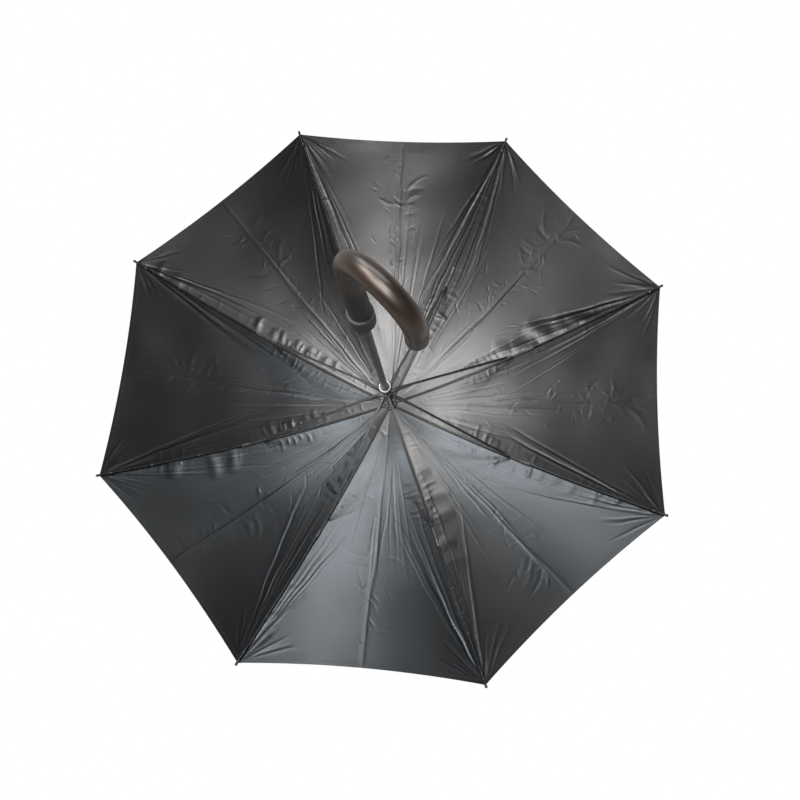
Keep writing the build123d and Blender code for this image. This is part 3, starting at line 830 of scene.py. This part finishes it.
def hem_stitches(i):
    """Dashes of thread along the hem of sector i, on both faces of the cloth."""
    dashes = []
    arch = np.array(STITCH_ARCH)[:, None]
    rows = np.abs(P - (P[-1] - STITCH_LINE)).argmin(axis=0)
    for j, columns in (((i - 2) % RIB_COUNT + 1, slice(COLUMNS, None)), (i, slice(0, COLUMNS + 1))):
        points, normals, _ = panels[j]
        line = np.array([points[r, c] for c, r in enumerate(rows)])[columns]
        out = np.array([normals[r, c] for c, r in enumerate(rows)])[columns]
        run = np.concatenate([[0], np.cumsum(np.linalg.norm(np.diff(line, axis=0), axis=1))])
        at = 0.003
        while at + STITCH < run[-1] - 0.002:
            s = at + STITCH * np.linspace(0, 1, len(STITCH_ARCH))
            middle = np.stack([np.interp(s, run, line[:, k]) for k in range(3)], -1)
            side = np.stack([np.interp(s, run, out[:, k]) for k in range(3)], -1)
            for face in (1, -1):
                dashes.append(middle + side * arch * face)
            at += STITCH + STITCH_GAP
    return tubes(f"hem_stitches_{i}", dashes, STITCH_THREAD_R, THREAD)


def tubes(name, paths, radius, finish, sides=6):
    """Many short tubes with the same number of points and narrow ends, as one mesh."""
    points = np.array(paths)
    count, length = points.shape[:2]
    ahead = np.gradient(points, axis=1)
    ahead /= np.linalg.norm(ahead, axis=2)[..., None]
    side = np.cross(ahead, [0.3, 0.5, 0.81])
    side /= np.linalg.norm(side, axis=2)[..., None]
    other = np.cross(ahead, side)
    turn = np.linspace(0, 2 * math.pi, sides, endpoint=False)
    swell = np.ones(length)
    swell[[0, -1]] = 0.25
    ring = side[:, :, None] * np.cos(turn)[:, None] + other[:, :, None] * np.sin(turn)[:, None]
    verts = (points[:, :, None] + radius * swell[None, :, None, None] * ring).reshape(-1, 3)
    k = np.arange(sides)
    n = (k + 1) % sides
    band = np.stack([k, n, n + sides, k + sides], -1)
    one = np.concatenate([band + r * sides for r in range(length - 1)])
    faces = (one[None] + (np.arange(count) * length * sides)[:, None, None]).reshape(-1, 4)
    return mesh_object(name, verts, faces, [finish])


for i in range(1, RIB_COUNT + 1):
    inner = ties(f"ties_inner_{i}", i, INNER_TIES, RIB_FOOT, INNER_TIE_HALF)
    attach(inner, f"rib_{i}")
    outer = ties(f"ties_outer_{i}", i, OUTER_TIES, -OUTER_RIB_R, OUTER_TIE_HALF)
    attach(outer, f"outer_rib_{i}")
    stitches = hem_stitches(i)
    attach(stitches, f"outer_rib_{i}")
    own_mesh(stitches)

strap, stud = closing_strap(), press_stud()
for piece, slot in ((strap, "canopy_cloth"), (stud, "bright_steel")):
    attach(piece, f"outer_rib_{STRAP_RIB}")
    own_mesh(piece)
    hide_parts(f"canopy_sector_{STRAP_RIB}")

TRIM_PROFILE = [
    (0.0139, -0.0011),
    (0.0147, -0.0010),
    (0.0151, -0.0005),
    (0.0147, 0.0),
    (0.0139, 0.0001),
    (0.0139, -0.0011),
]
trim = lathe("handle_trim", TRIM_PROFILE, (0, 0, COLLAR_BOTTOM_Z), (0, 0, 1), DARK_STEEL, 96)
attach(trim, "root")


# ---- studio ----
FLOOR_Z = -1.0
FLOOR_SIZE = 400
LIGHT_Z = FLOOR_Z + 0.03
COOL, NEUTRAL = (0.84, 0.93, 1.0), (1.0, 0.98, 0.96)
# Soft boxes lying face up under the umbrella: centre, width, depth, radiance and colour.
SOFT_BOXES = [
    ((-0.75, 0.15), 0.8, 0.5, 17, NEUTRAL),
    ((0.0, 0.5), 0.8, 0.5, 17, NEUTRAL),
    ((-1.2, -0.6), 0.8, 0.45, 16, COOL),
    ((-0.4, -0.75), 0.8, 0.5, 11, COOL),
    ((0.12, 0.12), 0.36, 0.4, 20, NEUTRAL),
    ((-2.2, -1.4), 0.8, 0.8, 22, COOL),
]
OVERHEAD = (0.9, -0.7, 2.8)
OVERHEAD_SIZE, OVERHEAD_RADIANCE = 3.0, 1.6
OVERHEAD_TARGET = (0, 0, 0.4)
SKY_ABOVE, SKY_BELOW = 0.6, 0.05
HORIZON = 0.05  # half of the blend between the two, as the height of a direction


def soft_box(name, place, target, size, radiance, colour):
    """A rectangular light aimed at a target, which the camera doesn't see."""
    lamp = bpy.data.lights.new(name, "AREA")
    lamp.shape = "RECTANGLE"
    lamp.size, lamp.size_y = size
    lamp.energy = radiance * math.pi * size[0] * size[1]
    lamp.color = colour
    light = bpy.data.objects.new(name, lamp)
    light.location = place
    light.rotation_euler = (Vector(target) - Vector(place)).to_track_quat("-Z", "Y").to_euler()
    light.visible_camera = False
    bpy.context.scene.collection.objects.link(light)


def floor(height, size):
    """A plain pale floor, which the object neither mirrors nor takes light from."""
    bpy.ops.mesh.primitive_plane_add(size=size, location=(0, 0, height))
    ground = bpy.context.object
    ground.name = "floor"
    m, shader = new_material("floor_paint", (0.82, 0.82, 0.81), 0.8)
    tint(m, shader, noise(m, 2, 3), (0.81, 0.81, 0.80), (0.84, 0.84, 0.83))
    ground.data.materials.append(m)
    ground.visible_glossy = ground.visible_diffuse = False


def sky():
    """White to the camera. As a light it is soft above the horizon and dim below it."""
    world = bpy.data.worlds.new("studio")
    world.use_nodes = True
    nodes, links = world.node_tree.nodes, world.node_tree.links
    background = nodes["Background"]
    background.inputs["Color"].default_value = (1, 1, 1, 1)
    where = nodes.new("ShaderNodeTexCoord")
    parts = nodes.new("ShaderNodeSeparateXYZ")
    light = nodes.new("ShaderNodeMapRange")
    blend = {"From Min": -HORIZON, "From Max": HORIZON, "To Min": SKY_BELOW, "To Max": SKY_ABOVE}
    for name, value in blend.items():
        light.inputs[name].default_value = value
    seen = nodes.new("ShaderNodeLightPath")
    level = nodes.new("ShaderNodeMapRange")
    links.new(where.outputs["Generated"], parts.inputs["Vector"])
    links.new(parts.outputs["Z"], light.inputs["Value"])
    links.new(seen.outputs["Is Camera Ray"], level.inputs["Value"])
    links.new(light.outputs["Result"], level.inputs["To Min"])
    links.new(level.outputs["Result"], background.inputs["Strength"])
    bpy.context.scene.world = world


floor(FLOOR_Z, FLOOR_SIZE)
sky()
for number, ((x, y), width, depth, radiance, colour) in enumerate(SOFT_BOXES, 1):
    soft_box(f"soft_box_{number}", (x, y, LIGHT_Z), (x, y, 0), (width, depth), radiance, colour)
overhead_size = (OVERHEAD_SIZE, OVERHEAD_SIZE)
soft_box("overhead", OVERHEAD, OVERHEAD_TARGET, overhead_size, OVERHEAD_RADIANCE, (1, 1, 1))
bpy.context.scene.view_settings.view_transform = "Standard"

# ---- camera ----
LENS, SENSOR = 24.75, 36  # millimetres
CAMERA_PLACE = (0.2084, 0.1108, -0.5492)
CAMERA_TURN = (-168.783, -2.576, -43.907)  # degrees
camera_data = bpy.data.cameras.new("camera")
camera_data.lens = LENS
camera_data.sensor_width = SENSOR
camera_data.clip_start = 0.02
camera = bpy.data.objects.new("camera", camera_data)
camera.location = CAMERA_PLACE
camera.rotation_euler = [math.radians(a) for a in CAMERA_TURN]
bpy.context.scene.collection.objects.link(camera)
bpy.context.scene.camera = camera
